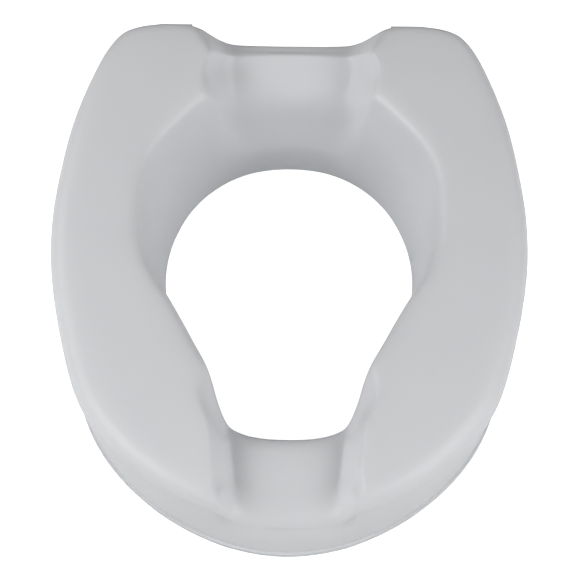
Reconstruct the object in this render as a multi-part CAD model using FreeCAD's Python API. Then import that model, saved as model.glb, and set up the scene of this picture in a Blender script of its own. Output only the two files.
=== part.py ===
import FreeCAD, Part
import math
import os

from FreeCAD import Vector

# Raised toilet seat, millimetres.
# +X is the side of the seat on the right when it is seen from the front, +Y its rear, +Z up.
# X = 0 is the plane of symmetry, and Z = 0 the bottom of the spigot that hangs into the bowl.

# --- Overall sizes ---------------------------------------------------------------------------------
SEAT_WIDTH = 367.0          # over the pads, at the widest place
SEAT_LENGTH = 408.0         # from the foot of the skirt in front to the back of the horns
OPENING_WIDTH = 205.0       # inside the spigot
SPIGOT_DEPTH = 30.0         # how far the spigot hangs below the bowl rim
RAISE = 100.0               # from the bowl rim to the top of the pads
WALL = 4.0                  # wall of the moulding

# --- Levels ----------------------------------------------------------------------------------------
BUFFER_HEIGHT = 4.0         # rubber between the bowl rim and the base ring
BASE_PLATE = 4.0            # thickness of the base ring's plate
BASE_BAND = 8.0             # height of the base ring's edge band
BASE_PROUD = 2.0            # how far the band stands out from the skirt
FRONT_DIP = 27.0            # depth of the front dip below the pads
REAR_DIP = 25.0             # depth of the rear recess below the pads
RIM_Z = SPIGOT_DEPTH
BASE_Z = RIM_Z + BUFFER_HEIGHT
PLATE_TOP_Z = BASE_Z + BASE_PLATE
SKIRT_Z = BASE_Z + BASE_BAND
PAD_Z = RIM_Z + RAISE

# --- Outlines: (angle in degrees from the front, distance from the opening's centre) ---------------
# They are drawn for the widths and length below and stretched to the sizes above.
DRAWN_WIDTH = 367.0
DRAWN_LENGTH = 408.0
DRAWN_OPENING = 205.0
EDGE = [(0, 202.5), (15, 202), (30, 200), (42, 197.5), (52, 195), (60, 190), (69, 184.5), (78, 182.5),
        (87, 183.5), (96, 186), (105, 190.3), (114, 196.5), (123, 207), (134, 222), (139, 230.5),
        (142.5, 235.7), (146, 237.7), (152, 230), (158, 218.5), (166, 203), (180, 196.3)]
FOOT = [(0, 210.5), (11, 209), (20, 206), (30, 202.5), (42, 198), (52, 193), (60, 187.5), (69, 181),
        (78, 178.5), (87, 178.5), (96, 180), (105, 184), (114, 190), (123, 200), (134, 213), (139, 220.5),
        (142.5, 226), (146, 228), (152, 219), (158, 209), (166, 197), (180, 190.5)]
RIDGE = [(0, 134), (12, 134.5), (18, 133), (21, 130), (26, 120.5), (32, 109), (38, 102.5), (46, 98),
         (58, 94.5), (72, 96.5), (83, 104), (93, 111.5), (102, 117.5), (112, 124.5), (120, 132),
         (128, 138), (136, 141), (146, 145), (153, 149.5), (163, 149), (180, 146)]
OPENING = [(0, 125), (12, 125), (19, 122), (26, 113), (32, 103), (40, 95), (58, 89), (72, 90),
           (90, 98), (104, 105), (125, 115.5), (144, 124), (162, 128.5), (180, 129)]


def from_front(angle):
    """The same angle on the right half: 0 at the front to 180 at the rear."""
    return abs((angle + 180.0) % 360.0 - 180.0)


def stretch(angle, stations, width_ratio, length_ratio):
    """Distance at an angle, smooth through the stations and mirrored about 0 and 180 degrees."""
    angle = from_front(angle)
    first, second = stations[1], stations[-2]
    around = [(-first[0], first[1])] + list(stations) + [(360 - second[0], second[1])]
    for k in range(1, len(around) - 2):
        if angle <= around[k + 1][0] + 1e-9:
            break
    (a0, r0), (a1, r1), (a2, r2), (a3, r3) = around[k - 1:k + 3]
    span = a2 - a1
    t = (angle - a1) / span
    start = (r2 - r0) / (a2 - a0) * span
    end = (r3 - r1) / (a3 - a1) * span
    radius = ((2 * t**3 - 3 * t**2 + 1) * r1 + (t**3 - 2 * t**2 + t) * start
              + (3 * t**2 - 2 * t**3) * r2 + (t**3 - t**2) * end)
    across = math.sin(math.radians(angle)) * width_ratio
    along = math.cos(math.radians(angle)) * length_ratio
    return radius * math.hypot(across, along)


def edge_radius(angle):
    return stretch(angle, EDGE, SEAT_WIDTH / DRAWN_WIDTH, SEAT_LENGTH / DRAWN_LENGTH)


def foot_radius(angle):
    return stretch(angle, FOOT, SEAT_WIDTH / DRAWN_WIDTH, SEAT_LENGTH / DRAWN_LENGTH)


def ridge_radius(angle):
    return stretch(angle, RIDGE, OPENING_WIDTH / DRAWN_OPENING, SEAT_LENGTH / DRAWN_LENGTH)


def opening_radius(angle):
    return stretch(angle, OPENING, OPENING_WIDTH / DRAWN_OPENING, SEAT_LENGTH / DRAWN_LENGTH)


# --- Hinge lugs, which reach furthest back ---------------------------------------------------------
LUG_X = 94.0                # hinge lugs
LUG_WIDTH = 27.0
LUG_R = 6.0
LUG_BORE_R = 3.0
LUG_DROP = 33.0             # from the pads' top down to the bore
LUG_BEHIND = 4.2            # from the widest edge back to the bore


def lug_behind_centre():
    """Distance from the opening's centre back to the lugs' bores."""
    angle = 180 - math.degrees(math.atan2(LUG_X, edge_radius(180)))
    return -edge_radius(angle) * math.cos(math.radians(angle)) + LUG_BEHIND


# Y = 0 is midway between the foot of the skirt in front and the back of the lugs.
OPENING_CENTRE_Y = 0.5 * (foot_radius(0) - lug_behind_centre() - LUG_R)


def at(angle, radius, z=0.0):
    """Point at an angle from the front and a distance from the opening's centre."""
    return Vector(radius * math.sin(math.radians(angle)),
                  OPENING_CENTRE_Y - radius * math.cos(math.radians(angle)), z)


# --- Top of the seat -------------------------------------------------------------------------------
FRONT_DIP_TOP = 49.0        # half width of the dip where it meets the pads, at the front edge
FRONT_DIP_SPREAD = 0.11     # how much wider its half is for each mm back from there
FRONT_DIP_WALL = 13.0       # width of each wall, which rises from the floor in a curve
REAR_DIP_TOP = 63.0         # half width of the recess
REAR_DIP_FLARE = 11.0       # how much wider its half opens at its rear edge
REAR_DIP_WALL = 22.0
OUTER_FALL = 3.0            # how much lower a pad is at its outer edge than at its ridge


def ramp(value, low, high):
    return min(1.0, max(0.0, (value - low) / (high - low)))


def smooth_step(value, low, high):
    t = ramp(value, low, high)
    return t * t * (3 - 2 * t)


def front_dip(x, y):
    """1 on the floor of the front dip, 0 on the pads."""
    front_edge = OPENING_CENTRE_Y - edge_radius(0)
    top = FRONT_DIP_TOP + FRONT_DIP_SPREAD * (y - front_edge)
    return 1 - ramp(abs(x), top - FRONT_DIP_WALL, top) ** 1.5


def rear_dip(x, y):
    """1 on the floor of the rear recess, 0 on the pads."""
    rear_edge = OPENING_CENTRE_Y + edge_radius(180)
    flare = REAR_DIP_FLARE * smooth_step(y, rear_edge - 25, rear_edge + 5)
    return 1 - ramp(abs(x), REAR_DIP_TOP - REAR_DIP_WALL, REAR_DIP_TOP + flare) ** 2


def top_height(x, y):
    """Height of the seat's top at a place: level pads with a dip in front and a recess behind."""
    if y < OPENING_CENTRE_Y:
        return PAD_Z - FRONT_DIP * front_dip(x, y)
    return PAD_Z - REAR_DIP * rear_dip(x, y)


# --- Section of the seat ---------------------------------------------------------------------------
PAD_RIDGE_ROUND = 10.0      # rounding from the pads into the funnel
FRONT_RIDGE_ROUND = 12.0    # the same from the front dip
REAR_RIDGE_ROUND = 45.0     # the same from the rear recess
SIDE_EDGE_ROUND = 21.0      # rounding of the outer edge at the sides
FRONT_EDGE_ROUND = 30.0     # the same in front
REAR_EDGE_ROUND = 9.0       # the same behind
GROOVE = 3.0                # groove between the body and the skirt, in front only
GROOVE_START = 25.0         # angle at which the groove begins to die away
GROOVE_END = 65.0           # angle at which it has gone
SPIGOT_TAPER = 3.0


def ridge_round(angle):
    """Rounding into the funnel, which is larger where the top dips."""
    ridge = at(angle, ridge_radius(angle))
    if ridge.y < OPENING_CENTRE_Y:
        return PAD_RIDGE_ROUND + (FRONT_RIDGE_ROUND - PAD_RIDGE_ROUND) * front_dip(ridge.x, ridge.y)
    return PAD_RIDGE_ROUND + (REAR_RIDGE_ROUND - PAD_RIDGE_ROUND) * rear_dip(ridge.x, ridge.y)


def edge_round(angle):
    side = from_front(angle)
    front = FRONT_EDGE_ROUND + (SIDE_EDGE_ROUND - FRONT_EDGE_ROUND) * smooth_step(side, 50, 80)
    return front + (REAR_EDGE_ROUND - SIDE_EDGE_ROUND) * smooth_step(side, 120, 150)


def section(angle):
    """Control points (distance, height) from the spigot's bottom over the pad to the skirt's foot."""
    opening = opening_radius(angle)
    ridge = ridge_radius(angle)
    edge = edge_radius(angle)
    foot = foot_radius(angle) - BASE_PROUD
    inner_round = ridge_round(angle)
    outer_round = edge_round(angle)

    def top(radius):
        place = at(angle, radius)
        return top_height(place.x, place.y)

    fold = opening + SPIGOT_TAPER
    fold_z = BASE_Z
    ridge_z = top(ridge + 2)
    low = ridge_z - inner_round
    pad_start = ridge + 0.8 * inner_round
    pad_end = edge - 0.95 * outer_round
    edge_z = top(edge - 6) - OUTER_FALL
    in_dip = (PAD_Z - OUTER_FALL - edge_z) / FRONT_DIP
    body_z = edge_z - SIDE_EDGE_ROUND + 9 * in_dip
    groove = GROOVE * (1 - smooth_step(from_front(angle), GROOVE_START, GROOVE_END))
    groove_z = body_z - 7
    waist = edge - 1.5

    def along_pad(share, fall):
        radius = pad_start + share * (pad_end - pad_start)
        return (radius, top(radius) - fall * OUTER_FALL)

    return [
        (opening, 0.0),
        (opening + 0.15 * SPIGOT_TAPER, 0.35 * fold_z),
        (opening + 0.5 * SPIGOT_TAPER, 0.75 * fold_z),
        (fold, fold_z + 4),
        (fold + 0.3 * (ridge - fold), fold_z + 0.4 * (low - fold_z)),
        (fold + 0.7 * (ridge - fold), fold_z + 0.8 * (low - fold_z)),
        (ridge - 1.0, low + 0.1 * inner_round),
        (ridge + 0.12 * inner_round, ridge_z - 0.28 * inner_round),
        (pad_start, ridge_z),
        along_pad(0.17, 0.0),
        along_pad(0.34, 0.05),
        along_pad(0.51, 0.2),
        along_pad(0.68, 0.4),
        along_pad(0.85, 0.65),
        along_pad(1.0, 0.9),
        (edge - 0.35 * outer_round, edge_z - 0.1 * (edge_z - body_z)),
        (edge - 0.05 * outer_round, edge_z - 0.45 * (edge_z - body_z)),
        (edge, body_z),
        (waist - groove, groove_z + 1.5),
        (waist - groove + 0.15 * (foot - waist), groove_z - 4),
        (waist + 0.3 * (foot - waist), groove_z - 12),
        (waist + 0.65 * (foot - waist), 0.5 * (groove_z + SKIRT_Z) - 4),
        (foot, SKIRT_Z),
    ]


def inside_of(points, wall):
    """The same section one wall thickness inside it, on the hidden side."""
    moved = []
    for k, (r, z) in enumerate(points):
        before = points[max(0, k - 1)]
        after = points[min(len(points) - 1, k + 1)]
        along = math.hypot(after[0] - before[0], after[1] - before[1])
        moved.append((r + wall * (after[1] - before[1]) / along, z - wall * (after[0] - before[0]) / along))
    moved[0] = (moved[0][0], points[0][1])
    moved[-1] = (moved[-1][0], points[-1][1])
    return moved


def ring_angles():
    """Angles of all sections, from just left of the front centre line round to it.

    They are close together where the dips rise to the pads.
    """
    half = [3 * k for k in range(4)]
    half += [12 + k for k in range(18)]
    half += [30 + 5 * k for k in range(6)]
    half += [60 + 6 * k for k in range(12)]
    half += [132 + 3 * k for k in range(4)]
    half += [144 + 2 * k for k in range(12)]
    half += [168 + 4 * k for k in range(4)]
    return [-half[1]] + half + [360 - a for a in reversed(half[2:-1])]


def half_faces(sections):
    """Smooth closed surface over the ring of sections, as its right and its left half."""
    columns = len(sections)
    spans = len(sections[0]) - 3
    surface = Part.BSplineSurface()
    surface.buildFromPolesMultsKnots(
        sections, [1] * (columns + 1), [4] + [1] * (spans - 1) + [4],
        [float(k) for k in range(columns + 1)], [float(k) for k in range(spans + 1)],
        True, False, 3, 3)
    halves = []
    for start in (0.0, columns / 2.0):
        half = surface.copy()
        half.segment(start, start + columns / 2.0, 0.0, float(spans))
        halves.append(half.toShape())
    return halves


def level_edges(faces, z):
    """The edges of the faces that lie at one level."""
    return [e for f in faces for e in f.Edges
            if abs(e.BoundBox.ZMin - z) < 1e-4 and abs(e.BoundBox.ZMax - z) < 1e-4]


# --- Places of the fastenings, buffers and clamps --------------------------------------------------
FIT_GAP = 0.05              # radial gap of a running fit
LOOSE_GAP = 0.4             # gap where pieces only pass each other
SPIGOT_GAP = 2.0            # gap between the spigot and the base ring or the clamps
SCREW_R = 2.0               # base screws
SCREW_HEAD_R = 4.0
SCREW_HEAD_H = 2.4
SCREW_LENGTH = 18.0
SCREW_SUNK = 0.3            # how far the head lies inside the base ring's underside
CROSS_HALF_WIDTH = 0.5      # of the driver recess
BOSS_R = 5.5
SCREW_INSET = 15.0          # from the skirt's outside to an outer base screw
INNER_SCREW_OUTSET = 11.0   # from the spigot's outside to an inner base screw
OUTER_SCREW_ANGLES = [18, 58, 122, 170]
INNER_SCREW_ANGLES = [45, 138]
BUFFER_R = 11.0
BUFFER_EDGE = 0.8           # chamfer round its foot
BUFFER_PEG_R = 3.0
BUFFER_PEG = 4.0            # how far the peg stands up into the base ring
BUFFER_ANGLES = {"front": 34, "rear": 150}

CLAMP_Y = OPENING_CENTRE_Y
CLAMP_SCREW_R = 5.0
SCREW_WAY_GAP = 1.0         # radial room for the screw in the jaw's block
SCREW_PAST_NUT = 4.0        # how far the screw's end stands out of the nut
SCREW_END_CHAMFER = 1.0
CLAMP_SCREW_Z = PLATE_TOP_Z + 26.0
CLAMP_LEAD = 6.0            # how far the jaw moves for one turn
CLAMP_TURNS = 3
JAW_TRAVEL = CLAMP_TURNS * CLAMP_LEAD
JAW_HALF_WIDTH = 14.0       # the block, across the screw
JAW_ABOVE = 11.0            # the block's height above the screw
JAW_BELOW = 28.0            # how far the leg reaches below the bowl rim
JAW_FOOT = 4.5              # thickness of the jaw's flanges
JAW_FLANGE = 5.0            # how far each flange stands out
JAW_LEG = 6.0               # thickness of the leg
JAW_LEG_HALF_WIDTH = 11.0
JAW_LENGTH = 27.0
JAW_SETBACK = 3.0           # from the leg's inner face to the block's
LEG_SLOT_CLEAR = 8.0        # room in the base ring's slot behind the leg
RAIL_SETBACK = 2.0          # from the block's inner face to the rails' inner end
RAIL_END_GAP = 3.0          # from the rails' outer end to the bush's boss
NUT_FLATS = 17.0
NUT_LENGTH = 9.0
LEG_FILLET = 1.5
PAD_THICK = 4.0
PAD_FILLET = 1.5
PAD_MARGIN = 2.0            # from the leg's end to the pad's
RIVET_R = 2.0
RIVET_HEAD_GAP = 0.2
RAIL_WALL = 3.0
BUSH_R = 8.0
BUSH_FLANGE_R = 11.0
BUSH_FLANGE = 1.6
BUSH_LENGTH = 13.0
BUSH_BOSS_R = 12.5
BUSH_FACE_INSET = 10.0      # from the body's widest edge in to the face that the bush sits on
KNOB_POCKET_R = 16.5
KNOB_POCKET_WALL = 3.0
END_FLOAT = 0.1             # play along the screw at the washer and at the clip
WASHER_R = 9.0
WASHER_THICK = 1.0
CLIP_THICK = 1.2
CLIP_R = 7.6
CLIP_GROOVE_DEPTH = 1.4
KNOB_R = 14.5
KNOB_LOBES = 5
KNOB_LOBE_R = 5.0
KNOB_THICK = 8.5
KNOB_SHAFT_R = 4.0
SHAFT_SHORT = 1.0           # from the shaft's end to the cap
CAP_R = 7.5
CAP_THICK = 1.6
CAP_GAP = 0.1
CAP_CHAMFER = 0.4
PIN_R = 1.25


def along_z(x, y, z_low, z_high, radius):
    return Part.makeCylinder(radius, z_high - z_low, Vector(x, y, z_low), Vector(0, 0, 1))


def along_x(x_low, x_high, y, z, radius):
    return Part.makeCylinder(radius, x_high - x_low, Vector(x_low, y, z), Vector(1, 0, 0))


def block(x_low, x_high, y_low, y_high, z_low, z_high):
    return Part.makeBox(x_high - x_low, y_high - y_low, z_high - z_low, Vector(x_low, y_low, z_low))


def mirrored(shape):
    """The left-hand copy of a right-hand piece."""
    return shape.mirror(Vector(0, 0, 0), Vector(1, 0, 0))


def both_sides(shapes):
    return shapes + [mirrored(s) for s in shapes]


def spigot_outside(angle, z):
    """Distance of the spigot's outer face at a level below the base ring's top."""
    share = min(1.0, z / BASE_Z)
    return opening_radius(angle) + SPIGOT_TAPER * share + WALL


def outer_screw_places():
    return [at(a, foot_radius(a) - BASE_PROUD - SCREW_INSET) for a in OUTER_SCREW_ANGLES]


def inner_screw_places():
    return [at(a, spigot_outside(a, BASE_Z) + INNER_SCREW_OUTSET) for a in INNER_SCREW_ANGLES]


def screw_places():
    right = outer_screw_places() + inner_screw_places()
    return right + [Vector(-p.x, p.y, 0) for p in right]


# --- Seat shell ------------------------------------------------------------------------------------
def closed_ring(top, under):
    """Solid between two ring surfaces whose ends lie at the spigot's bottom and the skirt's foot."""
    faces = top + under
    for z in (0.0, SKIRT_Z):
        loops = [Part.Wire(Part.__sortEdges__(level_edges(side, z))) for side in (top, under)]
        faces.append(Part.makeFace(loops, "Part::FaceMakerBullseye"))
    return solid_of(faces)


def solid_of(faces):
    sewn = Part.makeCompound(faces)
    sewn.sewShape()
    solid = Part.makeSolid(sewn.Shells[0])
    if solid.Volume < 0:
        solid.reverse()
    return solid


def moulding():
    """The bare shell, one wall thick, open below between spigot and skirt."""
    top = half_faces([[at(a, r, z) for r, z in section(a)] for a in ring_angles()])
    under = half_faces([[at(a, r, z) for r, z in inside_of(section(a), WALL)] for a in ring_angles()])
    return closed_ring(top, under)


def core():
    """Solid that fills the shell to the middle of its wall: it trims the posts to the shell."""
    shallow = [inside_of(section(a), 0.5 * WALL) for a in ring_angles()]
    top = half_faces([[at(a, r, z) for r, z in row] for a, row in zip(ring_angles(), shallow)])
    closing = []
    for a, row in zip(ring_angles(), shallow):
        (r0, z0), (r1, z1) = row[0], row[-1]
        closing.append([at(a, r0 + k / 3.0 * (r1 - r0), z0 + k / 3.0 * (z1 - z0)) for k in range(4)])
    return solid_of(top + half_faces(closing))


def bush_face_x():
    """Face of the shell that the bush's flange sits on."""
    return edge_radius(90) - BUSH_FACE_INSET


def lug_place():
    """Middle of the right-hand hinge lug's bore."""
    return Vector(LUG_X, OPENING_CENTRE_Y + lug_behind_centre(), PAD_Z - LUG_DROP)


def seat_shell():
    filling = core()
    posts = []
    pilots = []
    for place in screw_places():
        posts.append(along_z(place.x, place.y, PLATE_TOP_Z, PAD_Z, BOSS_R).common(filling))
        pilots.append(along_z(place.x, place.y, PLATE_TOP_Z - 1, PLATE_TOP_Z + SCREW_LENGTH, SCREW_R))
    face = bush_face_x()
    boss = along_x(face - BUSH_LENGTH, face, CLAMP_Y, CLAMP_SCREW_Z, BUSH_BOSS_R)
    cup = along_x(face - KNOB_POCKET_WALL, face + BUSH_LENGTH, CLAMP_Y, CLAMP_SCREW_Z,
                  KNOB_POCKET_R + KNOB_POCKET_WALL).common(filling)
    bore = along_x(face - BUSH_LENGTH - 1, face + 1, CLAMP_Y, CLAMP_SCREW_Z, BUSH_R)
    pocket = along_x(face, face + 2 * BUSH_LENGTH, CLAMP_Y, CLAMP_SCREW_Z, KNOB_POCKET_R)
    lug = lug_place()
    low = lug.x - 0.5 * LUG_WIDTH
    high = lug.x + 0.5 * LUG_WIDTH
    barrel = along_x(low, high, lug.y, lug.z, LUG_R)
    web = block(low, high, lug.y - LUG_BEHIND - 5, lug.y, lug.z - LUG_R, lug.z + LUG_R)
    lug_bore = along_x(low - 1, high + 1, lug.y, lug.z, LUG_BORE_R)
    shell = moulding().fuse(posts + both_sides([boss, cup, barrel, web]))
    return shell.cut(pilots + both_sides([bore, pocket, lug_bore]))


# --- Base ring -------------------------------------------------------------------------------------
def ring_wire(radius_of, z):
    """Smooth closed line with a given distance at every setting-out angle."""
    places = [at(a, radius_of(a), z) for a in ring_angles()]
    line = Part.BSplineCurve()
    line.buildFromPolesMultsKnots(places, [1] * (len(places) + 1),
                                  [float(k) for k in range(len(places) + 1)], True, 3)
    return Part.Wire([line.toShape()])


def ring_slab(outer_radius, inner_radius, z_low, z_high):
    loops = [ring_wire(outer_radius, z_low), ring_wire(inner_radius, z_low)]
    return Part.makeFace(loops, "Part::FaceMakerBullseye").extrude(Vector(0, 0, z_high - z_low))


def clear_of_spigot(half_width):
    """X at which something this wide, across the clamp's line, stands clear of the spigot."""
    corner = 90 + math.degrees(math.atan2(half_width, spigot_outside(90, BASE_Z)))
    return spigot_outside(corner, BASE_Z) + SPIGOT_GAP


def leg_x():
    """Inner face of the jaw's leg with the clamp fully open."""
    return clear_of_spigot(JAW_LEG_HALF_WIDTH)


def jaw_x():
    """Inner face of the jaw's block with the clamp fully open."""
    return leg_x() + JAW_SETBACK


def buffer_place(name):
    angle = BUFFER_ANGLES[name]
    return at(angle, 0.5 * (spigot_outside(angle, BASE_Z) + SPIGOT_GAP + foot_radius(angle)))


def base_ring():
    plate = ring_slab(foot_radius, lambda a: spigot_outside(a, BASE_Z) + SPIGOT_GAP, BASE_Z, PLATE_TOP_Z)
    band = ring_slab(foot_radius, lambda a: foot_radius(a) - BASE_PROUD - WALL, BASE_Z, SKIRT_Z)
    flange_edge = JAW_HALF_WIDTH + JAW_FLANGE + LOOSE_GAP
    lip_z = PLATE_TOP_Z + LOOSE_GAP + JAW_FOOT + LOOSE_GAP
    rail_low = jaw_x() + RAIL_SETBACK
    rail_high = bush_face_x() - BUSH_LENGTH - RAIL_END_GAP
    rails = []
    for side in (-1, 1):
        flange_y = CLAMP_Y + side * flange_edge
        wall_y = flange_y + side * RAIL_WALL
        lip_y = CLAMP_Y + side * (JAW_HALF_WIDTH + LOOSE_GAP)
        rails.append(block(rail_low, rail_high, min(flange_y, wall_y), max(flange_y, wall_y),
                           PLATE_TOP_Z, lip_z + RAIL_WALL))
        rails.append(block(rail_low, rail_high, min(lip_y, wall_y), max(lip_y, wall_y),
                           lip_z, lip_z + RAIL_WALL))
    slot_half = JAW_LEG_HALF_WIDTH + LOOSE_GAP
    slot = block(leg_x() - LEG_SLOT_CLEAR, leg_x() + JAW_LEG + JAW_TRAVEL + LOOSE_GAP,
                 CLAMP_Y - slot_half, CLAMP_Y + slot_half, BASE_Z - 1, PLATE_TOP_Z + 1)
    holes = []
    for place in screw_places():
        holes.append(along_z(place.x, place.y, BASE_Z - 1, PLATE_TOP_Z + 1, SCREW_R + LOOSE_GAP))
        holes.append(along_z(place.x, place.y, BASE_Z - 1, BASE_Z + SCREW_HEAD_H, SCREW_HEAD_R + LOOSE_GAP))
    for name in BUFFER_ANGLES:
        place = buffer_place(name)
        holes += both_sides([along_z(place.x, place.y, BASE_Z - 1, PLATE_TOP_Z + 1, BUFFER_PEG_R)])
    return plate.fuse([band] + both_sides(rails)).cut(both_sides([slot]) + holes)


# --- Base screws: self-tapping, pan head, cross recess ---------------------------------------------
def base_screw(place):
    head_z = BASE_Z + SCREW_HEAD_H
    head = along_z(place.x, place.y, BASE_Z + SCREW_SUNK, head_z, SCREW_HEAD_R)
    shank = along_z(place.x, place.y, head_z, BASE_Z + SCREW_LENGTH, SCREW_R)
    recess_depth = 0.6 * SCREW_HEAD_H
    arm = 0.55 * SCREW_HEAD_R
    slots = []
    for across, along in ((arm, CROSS_HALF_WIDTH), (CROSS_HALF_WIDTH, arm)):
        slots.append(block(place.x - across, place.x + across, place.y - along, place.y + along,
                           BASE_Z, BASE_Z + recess_depth))
    return head.fuse(shank).cut(slots)


def base_screws():
    return Part.makeCompound([base_screw(place) for place in screw_places()])


# --- Rim buffers -----------------------------------------------------------------------------------
def rim_buffer(name):
    place = buffer_place(name)
    pad = along_z(place.x, place.y, RIM_Z, BASE_Z, BUFFER_R)
    pad = pad.makeChamfer(BUFFER_EDGE, [e for e in pad.Edges if e.BoundBox.ZMax < RIM_Z + 0.01])
    return pad.fuse(along_z(place.x, place.y, BASE_Z, BASE_Z + BUFFER_PEG, BUFFER_PEG_R))


# --- Clamp jaw, nut, pad and rivet -----------------------------------------------------------------
def nut_x():
    return jaw_x() + 0.5 * (JAW_LENGTH - NUT_LENGTH)


def clamp_jaw():
    low = jaw_x()
    high = low + JAW_LENGTH
    foot_z = PLATE_TOP_Z + LOOSE_GAP
    top_z = CLAMP_SCREW_Z + JAW_ABOVE
    leg_z = RIM_Z - JAW_BELOW
    body = block(low, high, CLAMP_Y - JAW_HALF_WIDTH, CLAMP_Y + JAW_HALF_WIDTH, foot_z, top_z)
    reach = JAW_HALF_WIDTH + JAW_FLANGE
    flanges = block(low, high, CLAMP_Y - reach, CLAMP_Y + reach, foot_z, foot_z + JAW_FOOT)
    leg = block(leg_x(), leg_x() + JAW_LEG, CLAMP_Y - JAW_LEG_HALF_WIDTH, CLAMP_Y + JAW_LEG_HALF_WIDTH,
                leg_z, foot_z + JAW_FOOT)
    corners = [e for e in leg.Edges if abs(e.BoundBox.ZMax - leg_z) < 0.01 and e.BoundBox.XLength > 1]
    corners += [e for e in leg.Edges if e.BoundBox.ZLength < 0.01 and e.BoundBox.ZMax < leg_z + 0.01
                and e.BoundBox.YLength > 1]
    leg = leg.makeFillet(LEG_FILLET, corners)
    screw_way = along_x(low - 1, high + 1, CLAMP_Y, CLAMP_SCREW_Z, CLAMP_SCREW_R + SCREW_WAY_GAP)
    flat = 0.5 * NUT_FLATS
    pocket = block(nut_x(), nut_x() + NUT_LENGTH, CLAMP_Y - flat, CLAMP_Y + flat,
                   CLAMP_SCREW_Z - flat / math.cos(math.radians(30)), top_z + 1)
    rivet_hole = along_x(leg_x() - 1, leg_x() + JAW_LEG + 1, CLAMP_Y, pad_middle_z(), RIVET_R)
    return body.fuse([flanges, leg]).cut([screw_way, pocket, rivet_hole])


def jaw_nut():
    radius = 0.5 * NUT_FLATS / math.cos(math.radians(30))
    corners = [Vector(nut_x(), CLAMP_Y + radius * math.sin(math.radians(60 * k)),
                      CLAMP_SCREW_Z + radius * math.cos(math.radians(60 * k))) for k in range(7)]
    prism = Part.Face(Part.makePolygon(corners)).extrude(Vector(NUT_LENGTH, 0, 0))
    return prism.cut(along_x(nut_x() - 1, nut_x() + NUT_LENGTH + 1, CLAMP_Y, CLAMP_SCREW_Z,
                             CLAMP_SCREW_R + FIT_GAP))


def pad_middle_z():
    return RIM_Z - 0.5 * JAW_BELOW


def jaw_pad():
    low = leg_x() + JAW_LEG
    half = JAW_LEG_HALF_WIDTH
    depth = 0.5 * JAW_BELOW - PAD_MARGIN
    pad = block(low, low + PAD_THICK, CLAMP_Y - half, CLAMP_Y + half,
                pad_middle_z() - depth, pad_middle_z() + depth)
    pad = pad.makeFillet(PAD_FILLET, [e for e in pad.Edges if e.BoundBox.XMin > low + PAD_THICK - 0.01])
    head_hole = along_x(low + 0.5 * PAD_THICK, low + PAD_THICK + 1, CLAMP_Y, pad_middle_z(), 2 * RIVET_R)
    return pad.cut([head_hole, along_x(low - 1, low + PAD_THICK, CLAMP_Y, pad_middle_z(), RIVET_R)])


def pad_rivet():
    low = leg_x() + JAW_LEG
    shank = along_x(leg_x(), low + 0.5 * PAD_THICK, CLAMP_Y, pad_middle_z(), RIVET_R)
    head = along_x(low + 0.5 * PAD_THICK, low + 0.8 * PAD_THICK, CLAMP_Y, pad_middle_z(),
                   2 * RIVET_R - RIVET_HEAD_GAP)
    return shank.fuse(head)


# --- Clamp screw and what turns with it ------------------------------------------------------------
def knob_x():
    """Inner face of the knob."""
    return bush_face_x() + BUSH_FLANGE + LOOSE_GAP


def washer_x():
    """Outer face of the thrust washer, at the bush's inner end."""
    return bush_face_x() - BUSH_LENGTH - END_FLOAT


def clip_x():
    return washer_x() - WASHER_THICK - END_FLOAT - CLIP_THICK


def clamp_screw():
    inner_end = nut_x() - SCREW_PAST_NUT
    rod = along_x(inner_end, knob_x(), CLAMP_Y, CLAMP_SCREW_Z, CLAMP_SCREW_R)
    rod = rod.makeChamfer(SCREW_END_CHAMFER, [e for e in rod.Edges if e.BoundBox.XMax < inner_end + 0.01])
    shaft = along_x(knob_x(), knob_x() + KNOB_THICK - CAP_THICK - SHAFT_SHORT, CLAMP_Y, CLAMP_SCREW_Z,
                    KNOB_SHAFT_R)
    groove = along_x(clip_x() - FIT_GAP, clip_x() + CLIP_THICK + FIT_GAP, CLAMP_Y, CLAMP_SCREW_Z,
                     2 * CLAMP_SCREW_R)
    groove = groove.cut(along_x(clip_x() - 1, clip_x() + CLIP_THICK + 1, CLAMP_Y, CLAMP_SCREW_Z,
                                CLAMP_SCREW_R - CLIP_GROOVE_DEPTH))
    return rod.fuse(shaft).cut([groove, pin_hole()])


def screw_bush():
    face = bush_face_x()
    body = along_x(face - BUSH_LENGTH, face, CLAMP_Y, CLAMP_SCREW_Z, BUSH_R)
    flange = along_x(face, face + BUSH_FLANGE, CLAMP_Y, CLAMP_SCREW_Z, BUSH_FLANGE_R)
    return body.fuse(flange).cut(along_x(face - BUSH_LENGTH - 1, face + BUSH_FLANGE + 1, CLAMP_Y,
                                         CLAMP_SCREW_Z, CLAMP_SCREW_R + FIT_GAP))


def thrust_washer():
    low = washer_x() - WASHER_THICK
    disc = along_x(low, washer_x(), CLAMP_Y, CLAMP_SCREW_Z, WASHER_R)
    return disc.cut(along_x(low - 1, washer_x() + 1, CLAMP_Y, CLAMP_SCREW_Z, CLAMP_SCREW_R + FIT_GAP))


def retaining_clip():
    low = clip_x()
    neck = CLAMP_SCREW_R - CLIP_GROOVE_DEPTH
    disc = along_x(low, low + CLIP_THICK, CLAMP_Y, CLAMP_SCREW_Z, CLIP_R)
    hole = along_x(low - 1, low + CLIP_THICK + 1, CLAMP_Y, CLAMP_SCREW_Z, neck)
    mouth = block(low - 1, low + CLIP_THICK + 1, CLAMP_Y - 0.8 * neck, CLAMP_Y + 0.8 * neck,
                  CLAMP_SCREW_Z - 2 * CLIP_R, CLAMP_SCREW_Z)
    return disc.cut([hole, mouth])


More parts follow.
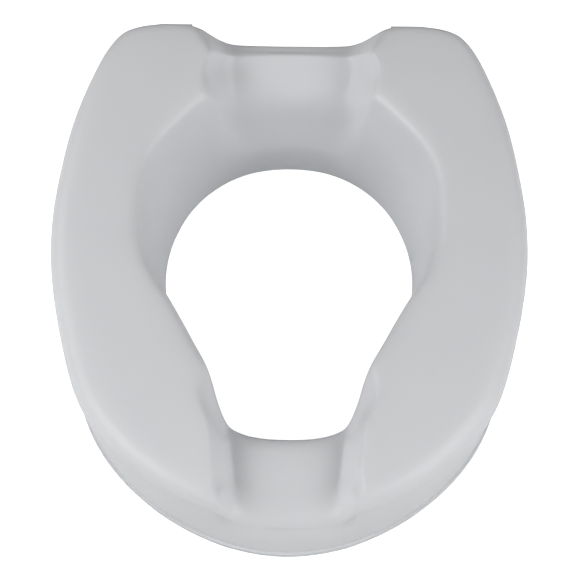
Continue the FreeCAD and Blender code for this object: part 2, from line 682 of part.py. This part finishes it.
def pin_hole():
    middle = knob_x() + 0.5 * (KNOB_THICK - CAP_THICK)
    return along_z(middle, CLAMP_Y, CLAMP_SCREW_Z - 2 * KNOB_R, CLAMP_SCREW_Z + 0.6 * KNOB_R, PIN_R)


def clamp_knob():
    low = knob_x()
    core_disc = along_x(low, low + KNOB_THICK, CLAMP_Y, CLAMP_SCREW_Z, KNOB_R - 0.6 * KNOB_LOBE_R)
    lobes = []
    for k in range(KNOB_LOBES):
        turn = 2 * math.pi * k / KNOB_LOBES
        reach = KNOB_R - KNOB_LOBE_R
        lobes.append(along_x(low, low + KNOB_THICK, CLAMP_Y + reach * math.sin(turn),
                             CLAMP_SCREW_Z + reach * math.cos(turn), KNOB_LOBE_R))
    knob = core_disc.fuse(lobes)
    shaft_hole = along_x(low - 1, low + KNOB_THICK + 1, CLAMP_Y, CLAMP_SCREW_Z, KNOB_SHAFT_R)
    cap_seat = along_x(low + KNOB_THICK - CAP_THICK, low + KNOB_THICK + 1, CLAMP_Y, CLAMP_SCREW_Z, CAP_R)
    return knob.cut([shaft_hole, cap_seat, pin_hole()])


def knob_pin():
    middle = knob_x() + 0.5 * (KNOB_THICK - CAP_THICK)
    return along_z(middle, CLAMP_Y, CLAMP_SCREW_Z - 0.6 * KNOB_R, CLAMP_SCREW_Z + 0.6 * KNOB_R, PIN_R)


def knob_cap():
    low = knob_x() + KNOB_THICK - CAP_THICK
    cap = along_x(low, low + CAP_THICK, CLAMP_Y, CLAMP_SCREW_Z, CAP_R - CAP_GAP)
    return cap.makeChamfer(CAP_CHAMFER, [e for e in cap.Edges if e.BoundBox.XMin > low + CAP_THICK - 0.01])


# --- Write the parts -------------------------------------------------------------------------------
SIDED = {
    "clamp_jaw": clamp_jaw,
    "jaw_nut": jaw_nut,
    "jaw_pad": jaw_pad,
    "pad_rivet": pad_rivet,
    "clamp_screw": clamp_screw,
    "screw_bush": screw_bush,
    "thrust_washer": thrust_washer,
    "retaining_clip": retaining_clip,
    "clamp_knob": clamp_knob,
    "knob_pin": knob_pin,
    "knob_cap": knob_cap,
}


def write(name, shape):
    shape.exportStep("parts/" + name + ".step")


os.makedirs("parts", exist_ok=True)
write("seat_shell", seat_shell())
write("base_ring", base_ring())
write("base_screws", base_screws())
for place_name in BUFFER_ANGLES:
    write("buffer_" + place_name + "_right", rim_buffer(place_name))
    write("buffer_" + place_name + "_left", mirrored(rim_buffer(place_name)))
for name, make in SIDED.items():
    piece = make()
    write(name + "_right", piece)
    write(name + "_left", mirrored(piece))
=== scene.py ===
import math

import bmesh
import bpy
from mathutils import Matrix, Vector


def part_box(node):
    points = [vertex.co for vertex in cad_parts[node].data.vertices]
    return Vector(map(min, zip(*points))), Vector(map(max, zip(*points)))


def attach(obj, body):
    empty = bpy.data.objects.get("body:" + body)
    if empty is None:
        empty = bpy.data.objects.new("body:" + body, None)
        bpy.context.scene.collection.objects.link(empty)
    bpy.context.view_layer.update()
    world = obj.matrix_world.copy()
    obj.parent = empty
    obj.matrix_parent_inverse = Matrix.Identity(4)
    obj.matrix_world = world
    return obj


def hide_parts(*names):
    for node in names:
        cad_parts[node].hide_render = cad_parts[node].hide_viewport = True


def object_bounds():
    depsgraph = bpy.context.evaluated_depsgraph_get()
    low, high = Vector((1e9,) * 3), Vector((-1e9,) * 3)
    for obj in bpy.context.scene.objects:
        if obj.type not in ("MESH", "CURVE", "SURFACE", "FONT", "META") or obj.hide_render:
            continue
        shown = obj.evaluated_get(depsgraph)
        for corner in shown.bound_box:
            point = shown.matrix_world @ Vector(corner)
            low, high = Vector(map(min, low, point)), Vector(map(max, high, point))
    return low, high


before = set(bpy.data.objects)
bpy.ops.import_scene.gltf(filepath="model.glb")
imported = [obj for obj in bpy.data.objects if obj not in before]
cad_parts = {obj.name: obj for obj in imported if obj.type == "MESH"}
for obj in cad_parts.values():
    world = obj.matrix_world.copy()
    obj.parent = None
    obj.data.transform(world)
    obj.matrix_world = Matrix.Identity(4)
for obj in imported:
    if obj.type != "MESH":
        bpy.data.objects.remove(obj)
cad_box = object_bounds()


# --- Camera --------------------------------------------------------------------------------------
# A long lens 1.5 m away looks down on the seat from the front, 70 degrees above the level, and is
# rolled by a little over half a degree. The small shift sets the seat in the middle of the frame.
CAMERA_DISTANCE = 1.5
CAMERA_TILT = math.radians(70)
CAMERA_ROLL = math.radians(0.6)
CAMERA_LENS = 122.4                     # mm, on a 36 mm sensor
CAMERA_SHIFT = (-0.0024, 0.0035)
AIM = Vector((0, -0.021, 0.110))

camera_data = bpy.data.cameras.new("camera")
camera_data.lens = CAMERA_LENS
camera_data.shift_x, camera_data.shift_y = CAMERA_SHIFT
camera = bpy.data.objects.new("camera", camera_data)
bpy.context.collection.objects.link(camera)
looking = Vector((0, math.cos(CAMERA_TILT), -math.sin(CAMERA_TILT)))
camera.matrix_world = (Matrix.Translation(AIM - looking * CAMERA_DISTANCE)
                       @ Matrix.Rotation(math.pi / 2 - CAMERA_TILT, 4, "X")
                       @ Matrix.Rotation(CAMERA_ROLL, 4, "Z"))
bpy.context.scene.camera = camera


# --- Studio light --------------------------------------------------------------------------------
# Soft boxes stand round the table, strongest at the two front corners, so that the rounded edges
# are bright and the funnel stays soft. Azimuth 0 is in front of the seat, positive to its right.
BOX_DISTANCE = 2.0
BOX_WIDTH = 1.2
BOX_HEIGHT = 0.9
ROOM_LIGHT = 0.06                       # strength of the white room all round
SOFT_BOXES = {                          # name: (azimuth, elevation, watts)
    "front_left": (-60, 40, 16.5),
    "front_right": (60, 40, 15.5),
    "low_left": (-60, 15, 4),
    "low_right": (60, 15, 7),
    "side_left": (-110, 30, 11),
    "side_right": (110, 30, 5),
    "behind": (180, 30, 0.6),
    "overhead": (0, 70, 0.5),
}
for name, (azimuth, elevation, watts) in SOFT_BOXES.items():
    data = bpy.data.lights.new(name, "AREA")
    data.shape = "RECTANGLE"
    data.size = BOX_WIDTH
    data.size_y = BOX_HEIGHT
    data.energy = watts
    lamp = bpy.data.objects.new(name, data)
    bpy.context.collection.objects.link(lamp)
    side, up = math.radians(azimuth), math.radians(elevation)
    outwards = Vector((math.sin(side) * math.cos(up), -math.cos(side) * math.cos(up), math.sin(up)))
    lamp.matrix_world = (Matrix.Translation(AIM + BOX_DISTANCE * outwards)
                         @ outwards.to_track_quat("Z", "Y").to_matrix().to_4x4())

world = bpy.data.worlds.new("white_room")
world.use_nodes = True
world.node_tree.nodes["Background"].inputs["Color"].default_value = (1, 1, 1, 1)
world.node_tree.nodes["Background"].inputs["Strength"].default_value = ROOM_LIGHT
bpy.context.scene.world = world
bpy.context.scene.view_settings.view_transform = "Standard"


# --- Floor ---------------------------------------------------------------------------------------
# A plain white table top, lit through so that it stays white under the seat. Its glow doesn't reach
# the seat, where it would flatten the funnel. A matt floor just under it gives back the soft light.
def linear(hex_colour):
    """An sRGB hex colour as the linear values that a shader takes."""
    channels = [int(hex_colour[k:k + 2], 16) / 255 for k in (1, 3, 5)]
    return [c / 12.92 if c <= 0.04045 else ((c + 0.055) / 1.055) ** 2.4 for c in channels] + [1.0]


def new_material(name, colour, roughness, metallic=0.0, ior=1.5):
    """A material with those constant values, its node tree and its shader."""
    material = bpy.data.materials.new(name)
    material.use_nodes = True
    shader = material.node_tree.nodes["Principled BSDF"]
    shader.inputs["Base Color"].default_value = linear(colour)
    shader.inputs["Roughness"].default_value = roughness
    shader.inputs["Metallic"].default_value = metallic
    shader.inputs["IOR"].default_value = ior
    return material, material.node_tree, shader


def new_piece(name, shape, material, smooth_angle=40):
    """The bmesh as a finished object that is smooth except at edges sharper than the angle."""
    mesh = bpy.data.meshes.new(name)
    shape.to_mesh(mesh)
    shape.free()
    mesh.materials.append(material)
    mesh.shade_smooth()
    mesh.set_sharp_from_angle(angle=math.radians(smooth_angle))
    piece = bpy.data.objects.new(name, mesh)
    bpy.context.collection.objects.link(piece)
    return piece


FLOOR_HALF = 6.0                        # metres
FLOOR_GLOW = 0.95
TABLE_GAP = 0.0005                      # metres under the seat
MATT_GAP = 0.001


def floor_piece(name, gap, material):
    """A plain square of floor that far under the seat."""
    shape = bmesh.new()
    bmesh.ops.create_grid(shape, x_segments=1, y_segments=1, size=FLOOR_HALF)
    bmesh.ops.translate(shape, vec=(0, 0, cad_box[0].z - gap), verts=shape.verts)
    piece = new_piece(name, shape, material)
    return piece


table_top, tree, shader = new_material("white_table_top", "#f4f5f5", 0.6)
shader.inputs["Emission Color"].default_value = linear("#ffffff")
shader.inputs["Emission Strength"].default_value = FLOOR_GLOW
floor = floor_piece("floor", TABLE_GAP, table_top)
floor.visible_diffuse = False
floor.visible_glossy = False
floor.visible_shadow = False
matt_white, tree, shader = new_material("matt_white_floor", "#e9eaea", 0.9)
under_floor = floor_piece("under_floor", MATT_GAP, matt_white)
under_floor.visible_camera = False


# --- Seat shell ----------------------------------------------------------------------------------
# One hollow moulding of white polypropylene: the pads, both dips, the funnel with its spigot, the
# flared skirt and the hinge lugs. It is taken as injection moulded in a tool with a fine grain.
def add_node(tree, kind, settings, **inputs):
    """Adds a node with its settings; each input is a value, or the output socket that feeds it."""
    node = tree.nodes.new(kind)
    for key, value in settings.items():
        setattr(node, key, value)
    for key, value in inputs.items():
        socket = node.inputs[key.replace("_", " ")]
        if isinstance(value, bpy.types.NodeSocket):
            tree.links.new(value, socket)
        else:
            socket.default_value = value
    return node


def per_metre(millimetres):
    """Scale of a pattern whose features are this far apart, for coordinates in metres."""
    return 1000 / millimetres


def moulded_plastic(name, colour, shade, roughness, grain, depth):
    """A satin moulding: slow drifts of tone and gloss from the melt's flow, and the tool's grain."""
    material, tree, shader = new_material(name, colour, roughness, ior=1.49)
    place = add_node(tree, "ShaderNodeTexCoord", {}).outputs["Object"]
    flow = add_node(tree, "ShaderNodeTexNoise", {}, Vector=place, Scale=per_metre(FLOW_SIZE), Detail=3.0,
                    Roughness=0.55)
    tone = add_node(tree, "ShaderNodeMix", {"data_type": "RGBA"}, Factor=flow.outputs["Fac"])
    tone.inputs["A"].default_value = linear(shade)
    tone.inputs["B"].default_value = linear(colour)
    tree.links.new(tone.outputs["Result"], shader.inputs["Base Color"])
    gloss = add_node(tree, "ShaderNodeMapRange", {}, Value=flow.outputs["Fac"])
    gloss.inputs["To Min"].default_value = roughness - GLOSS_DRIFT[0]
    gloss.inputs["To Max"].default_value = roughness + GLOSS_DRIFT[1]
    tree.links.new(gloss.outputs["Result"], shader.inputs["Roughness"])
    fine = add_node(tree, "ShaderNodeTexNoise", {}, Vector=place, Scale=per_metre(grain), Detail=2.0,
                    Roughness=0.6)
    relief = add_node(tree, "ShaderNodeBump", {}, Strength=0.35, Distance=depth / 1000,
                      Height=fine.outputs["Fac"])
    tree.links.new(relief.outputs["Normal"], shader.inputs["Normal"])
    shader.inputs["Subsurface Weight"].default_value = TRANSLUCENCY
    shader.inputs["Subsurface Radius"].default_value = LIGHT_REACH
    shader.inputs["Subsurface Scale"].default_value = 1.0
    return material


def paint(node, material):
    """Gives a CAD node a finished material in place of its plain one."""
    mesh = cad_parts[node].data
    mesh.materials.clear()
    mesh.materials.append(material)


# Polypropylene, injection moulded: pale and a little cool, satin, and faintly translucent, so that
# its shadows are soft. The grain's size, 1.6 mm, is chosen so that it just shows.
FLOW_SIZE = 60.0                        # mm
SHELL_GRAIN = 1.6
GLOSS_DRIFT = (0.04, 0.05)              # how much the roughness falls and rises with the flow
TRANSLUCENCY = 0.12
LIGHT_REACH = (0.004, 0.004, 0.0035)    # metres that red, green and blue light spread inside
shell_plastic = moulded_plastic("satin_polypropylene", "#dedfe1", "#dadbde", 0.42, SHELL_GRAIN, 0.05)
paint("seat_shell", shell_plastic)


# --- Base ring -----------------------------------------------------------------------------------
# A flat ring that closes the underside, moulded of the same polypropylene in a plainer tool. Its
# edge band shows all round the foot of the skirt, and its rails guide the two clamp jaws.
ring_plastic = moulded_plastic("base_polypropylene", "#dbdcde", "#d6d7da", 0.46, SHELL_GRAIN, 0.05)
paint("base_ring", ring_plastic)


# --- Base screws ---------------------------------------------------------------------------------
# Twelve self-tapping screws with pan heads, cold-headed from stainless wire, that hold the base
# ring to the posts inside the shell. Their heads lie in counterbores in the ring's underside.
MERGE_DISTANCE = 2e-6                   # metres
FLAT_ANGLE = math.radians(1)            # faces that meet flatter than this are one face
SHARP_ANGLE = math.radians(35)          # edges sharper than this are eased


def eased_copy(node, body, material, edge, smooth_angle=35):
    """Copy of a CAD node whose edges are rounded a little, as a made piece's are; replaces it."""
    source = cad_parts[node]
    shape = bmesh.new()
    shape.from_mesh(source.data)
    bmesh.ops.remove_doubles(shape, verts=shape.verts, dist=MERGE_DISTANCE)
    bmesh.ops.dissolve_limit(shape, angle_limit=FLAT_ANGLE, verts=shape.verts, edges=shape.edges)
    piece = new_piece(node + "_made", shape, material, smooth_angle)
    bevel = piece.modifiers.new("eased_edges", "BEVEL")
    bevel.width = edge / 1000
    bevel.segments = 2
    bevel.limit_method = "ANGLE"
    bevel.angle_limit = SHARP_ANGLE
    bevel.harden_normals = True
    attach(piece, body)
    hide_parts(node)
    return piece


def metal(name, colour, roughness, grain):
    """A bare metal with fine scratches that vary its gloss."""
    material, tree, shader = new_material(name, colour, roughness, metallic=1.0)
    place = add_node(tree, "ShaderNodeTexCoord", {}).outputs["Object"]
    scratch = add_node(tree, "ShaderNodeTexNoise", {}, Vector=place, Scale=per_metre(grain), Detail=4.0)
    gloss = add_node(tree, "ShaderNodeMapRange", {}, Value=scratch.outputs["Fac"])
    gloss.inputs["To Min"].default_value = roughness - 0.08
    gloss.inputs["To Max"].default_value = roughness + 0.1
    tree.links.new(gloss.outputs["Result"], shader.inputs["Roughness"])
    relief = add_node(tree, "ShaderNodeBump", {}, Strength=0.2, Distance=0.00002,
                      Height=scratch.outputs["Fac"])
    tree.links.new(relief.outputs["Normal"], shader.inputs["Normal"])
    return material


# Stainless steel, cold-headed and tumbled: a soft grey shine with no direction to it.
stainless = metal("tumbled_stainless_steel", "#c2c2bf", 0.3, 0.8)
eased_copy("base_screws", "seat", stainless, 0.35)


# --- Rim buffers ---------------------------------------------------------------------------------
# Four round buffers of soft thermoplastic rubber between the base ring and the bowl rim, pushed
# into the ring by a peg. Rings moulded in the face that touches the bowl keep it from sliding.
def rubber_skin(name, colour, roughness, grain):
    """Soft rubber: matt, slightly mottled, with a fine moulded grain."""
    material, tree, shader = new_material(name, colour, roughness, ior=1.52)
    place = add_node(tree, "ShaderNodeTexCoord", {}).outputs["Object"]
    fine = add_node(tree, "ShaderNodeTexNoise", {}, Vector=place, Scale=per_metre(grain), Detail=3.0)
    gloss = add_node(tree, "ShaderNodeMapRange", {}, Value=fine.outputs["Fac"])
    gloss.inputs["To Min"].default_value = roughness - 0.06
    gloss.inputs["To Max"].default_value = roughness + 0.08
    tree.links.new(gloss.outputs["Result"], shader.inputs["Roughness"])
    relief = add_node(tree, "ShaderNodeBump", {}, Strength=0.4, Distance=0.00005,
                      Height=fine.outputs["Fac"])
    tree.links.new(relief.outputs["Normal"], shader.inputs["Normal"])
    return material


def turned(outline, centre, axis, material, name, steps=64, smooth_angle=40):
    """A solid of revolution: outline is (radius, distance along the axis) from pole to pole, in mm."""
    shape = bmesh.new()
    points = [shape.verts.new((r / 1000, 0, d / 1000)) for r, d in outline]
    for a, b in zip(points, points[1:]):
        shape.edges.new((a, b))
    bmesh.ops.spin(shape, geom=shape.verts[:] + shape.edges[:], cent=(0, 0, 0), axis=(0, 0, 1),
                   angle=2 * math.pi, steps=steps, use_merge=True)
    bmesh.ops.remove_doubles(shape, verts=shape.verts, dist=1e-6)
    bmesh.ops.recalc_face_normals(shape, faces=shape.faces)
    turn = Vector(axis).to_track_quat("Z", "Y").to_matrix().to_4x4()
    bmesh.ops.transform(shape, matrix=Matrix.Translation(centre) @ turn, verts=shape.verts)
    return new_piece(name, shape, material, smooth_angle)


# Thermoplastic rubber, moulded: mid grey and matt, so it shows no sharp reflections.
buffer_rubber = rubber_skin("grey_thermoplastic_rubber", "#7d8082", 0.7, 0.9)
PEG_R = 3.0                             # mm
PEG_HEIGHT = 4.0
RINGS = 3
RING_STEP = 2.4
RING_DEPTH = 0.5
for end in ("front", "rear"):
    for hand in ("left", "right"):
        node = "buffer_" + end + "_" + hand
        low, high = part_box(node)
        radius = 500 * (high.x - low.x)
        height = 1000 * (high.z - low.z) - PEG_HEIGHT
        foot = [(0, 0)]
        for k in range(1, RINGS + 1):
            groove = k * RING_STEP
            foot += [(groove - 0.5, 0), (groove - 0.2, RING_DEPTH), (groove + 0.2, RING_DEPTH),
                     (groove + 0.5, 0)]
        side = [(radius - 0.8, 0), (radius - 0.25, 0.25), (radius, 0.8), (radius, height - 0.4),
                (radius - 0.4, height)]
        peg = [(PEG_R, height), (PEG_R, height + PEG_HEIGHT - 0.5), (PEG_R - 0.5, height + PEG_HEIGHT),
               (0, height + PEG_HEIGHT)]
        centre = Vector((0.5 * (low.x + high.x), 0.5 * (low.y + high.y), low.z))
        buffer = turned(foot + side + peg, centre, (0, 0, 1), buffer_rubber, node + "_moulded")
        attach(buffer, "seat")
        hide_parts(node)


# --- Clamp bushes and washers --------------------------------------------------------------------
# Each clamp screw turns in a flanged bush of natural acetal, turned from bar and pressed into the
# skirt from outside. A stainless washer lies against the bush's inner end.
acetal = moulded_plastic("turned_acetal", "#eae8e0", "#e6e4db", 0.34, 0.8, 0.01)
for hand in ("left", "right"):
    eased_copy("screw_bush_" + hand, "seat", acetal, 0.3)
    eased_copy("thrust_washer_" + hand, "seat", stainless, 0.15)


# --- Clamp jaws ----------------------------------------------------------------------------------
# A moulded polypropylene jaw slides in the base ring's rails at each side. It carries a brass
# nut, and a moulded rubber pad riveted to the leg that reaches down inside the bowl.
brass = metal("turned_brass", "#c9a55c", 0.28, 0.8)
for hand in ("left", "right"):
    body = "jaw_" + hand
    eased_copy("clamp_jaw_" + hand, body, ring_plastic, 0.6)
    eased_copy("jaw_nut_" + hand, body, brass, 0.4)
    eased_copy("jaw_pad_" + hand, body, buffer_rubber, 0.4)
    eased_copy("pad_rivet_" + hand, body, stainless, 0.3)


# --- Clamp screws, clips, pins, knobs and caps ---------------------------------------------------
# A stainless screw, its thread left plain, is held by a spring clip in its groove. The lobed knob
# is moulded in light grey, locked on the shaft by a cross pin and closed by a cap that snaps in.
knob_plastic = moulded_plastic("grey_polypropylene", "#b4b8ba", "#afb3b6", 0.38, 1.0, 0.03)
for hand in ("left", "right"):
    body = "screw_" + hand
    eased_copy("clamp_screw_" + hand, body, stainless, 0.3)
    eased_copy("retaining_clip_" + hand, body, stainless, 0.15)
    eased_copy("knob_pin_" + hand, body, stainless, 0.2)
    eased_copy("clamp_knob_" + hand, body, knob_plastic, 0.9)
    eased_copy("knob_cap_" + hand, body, knob_plastic, 0.3)
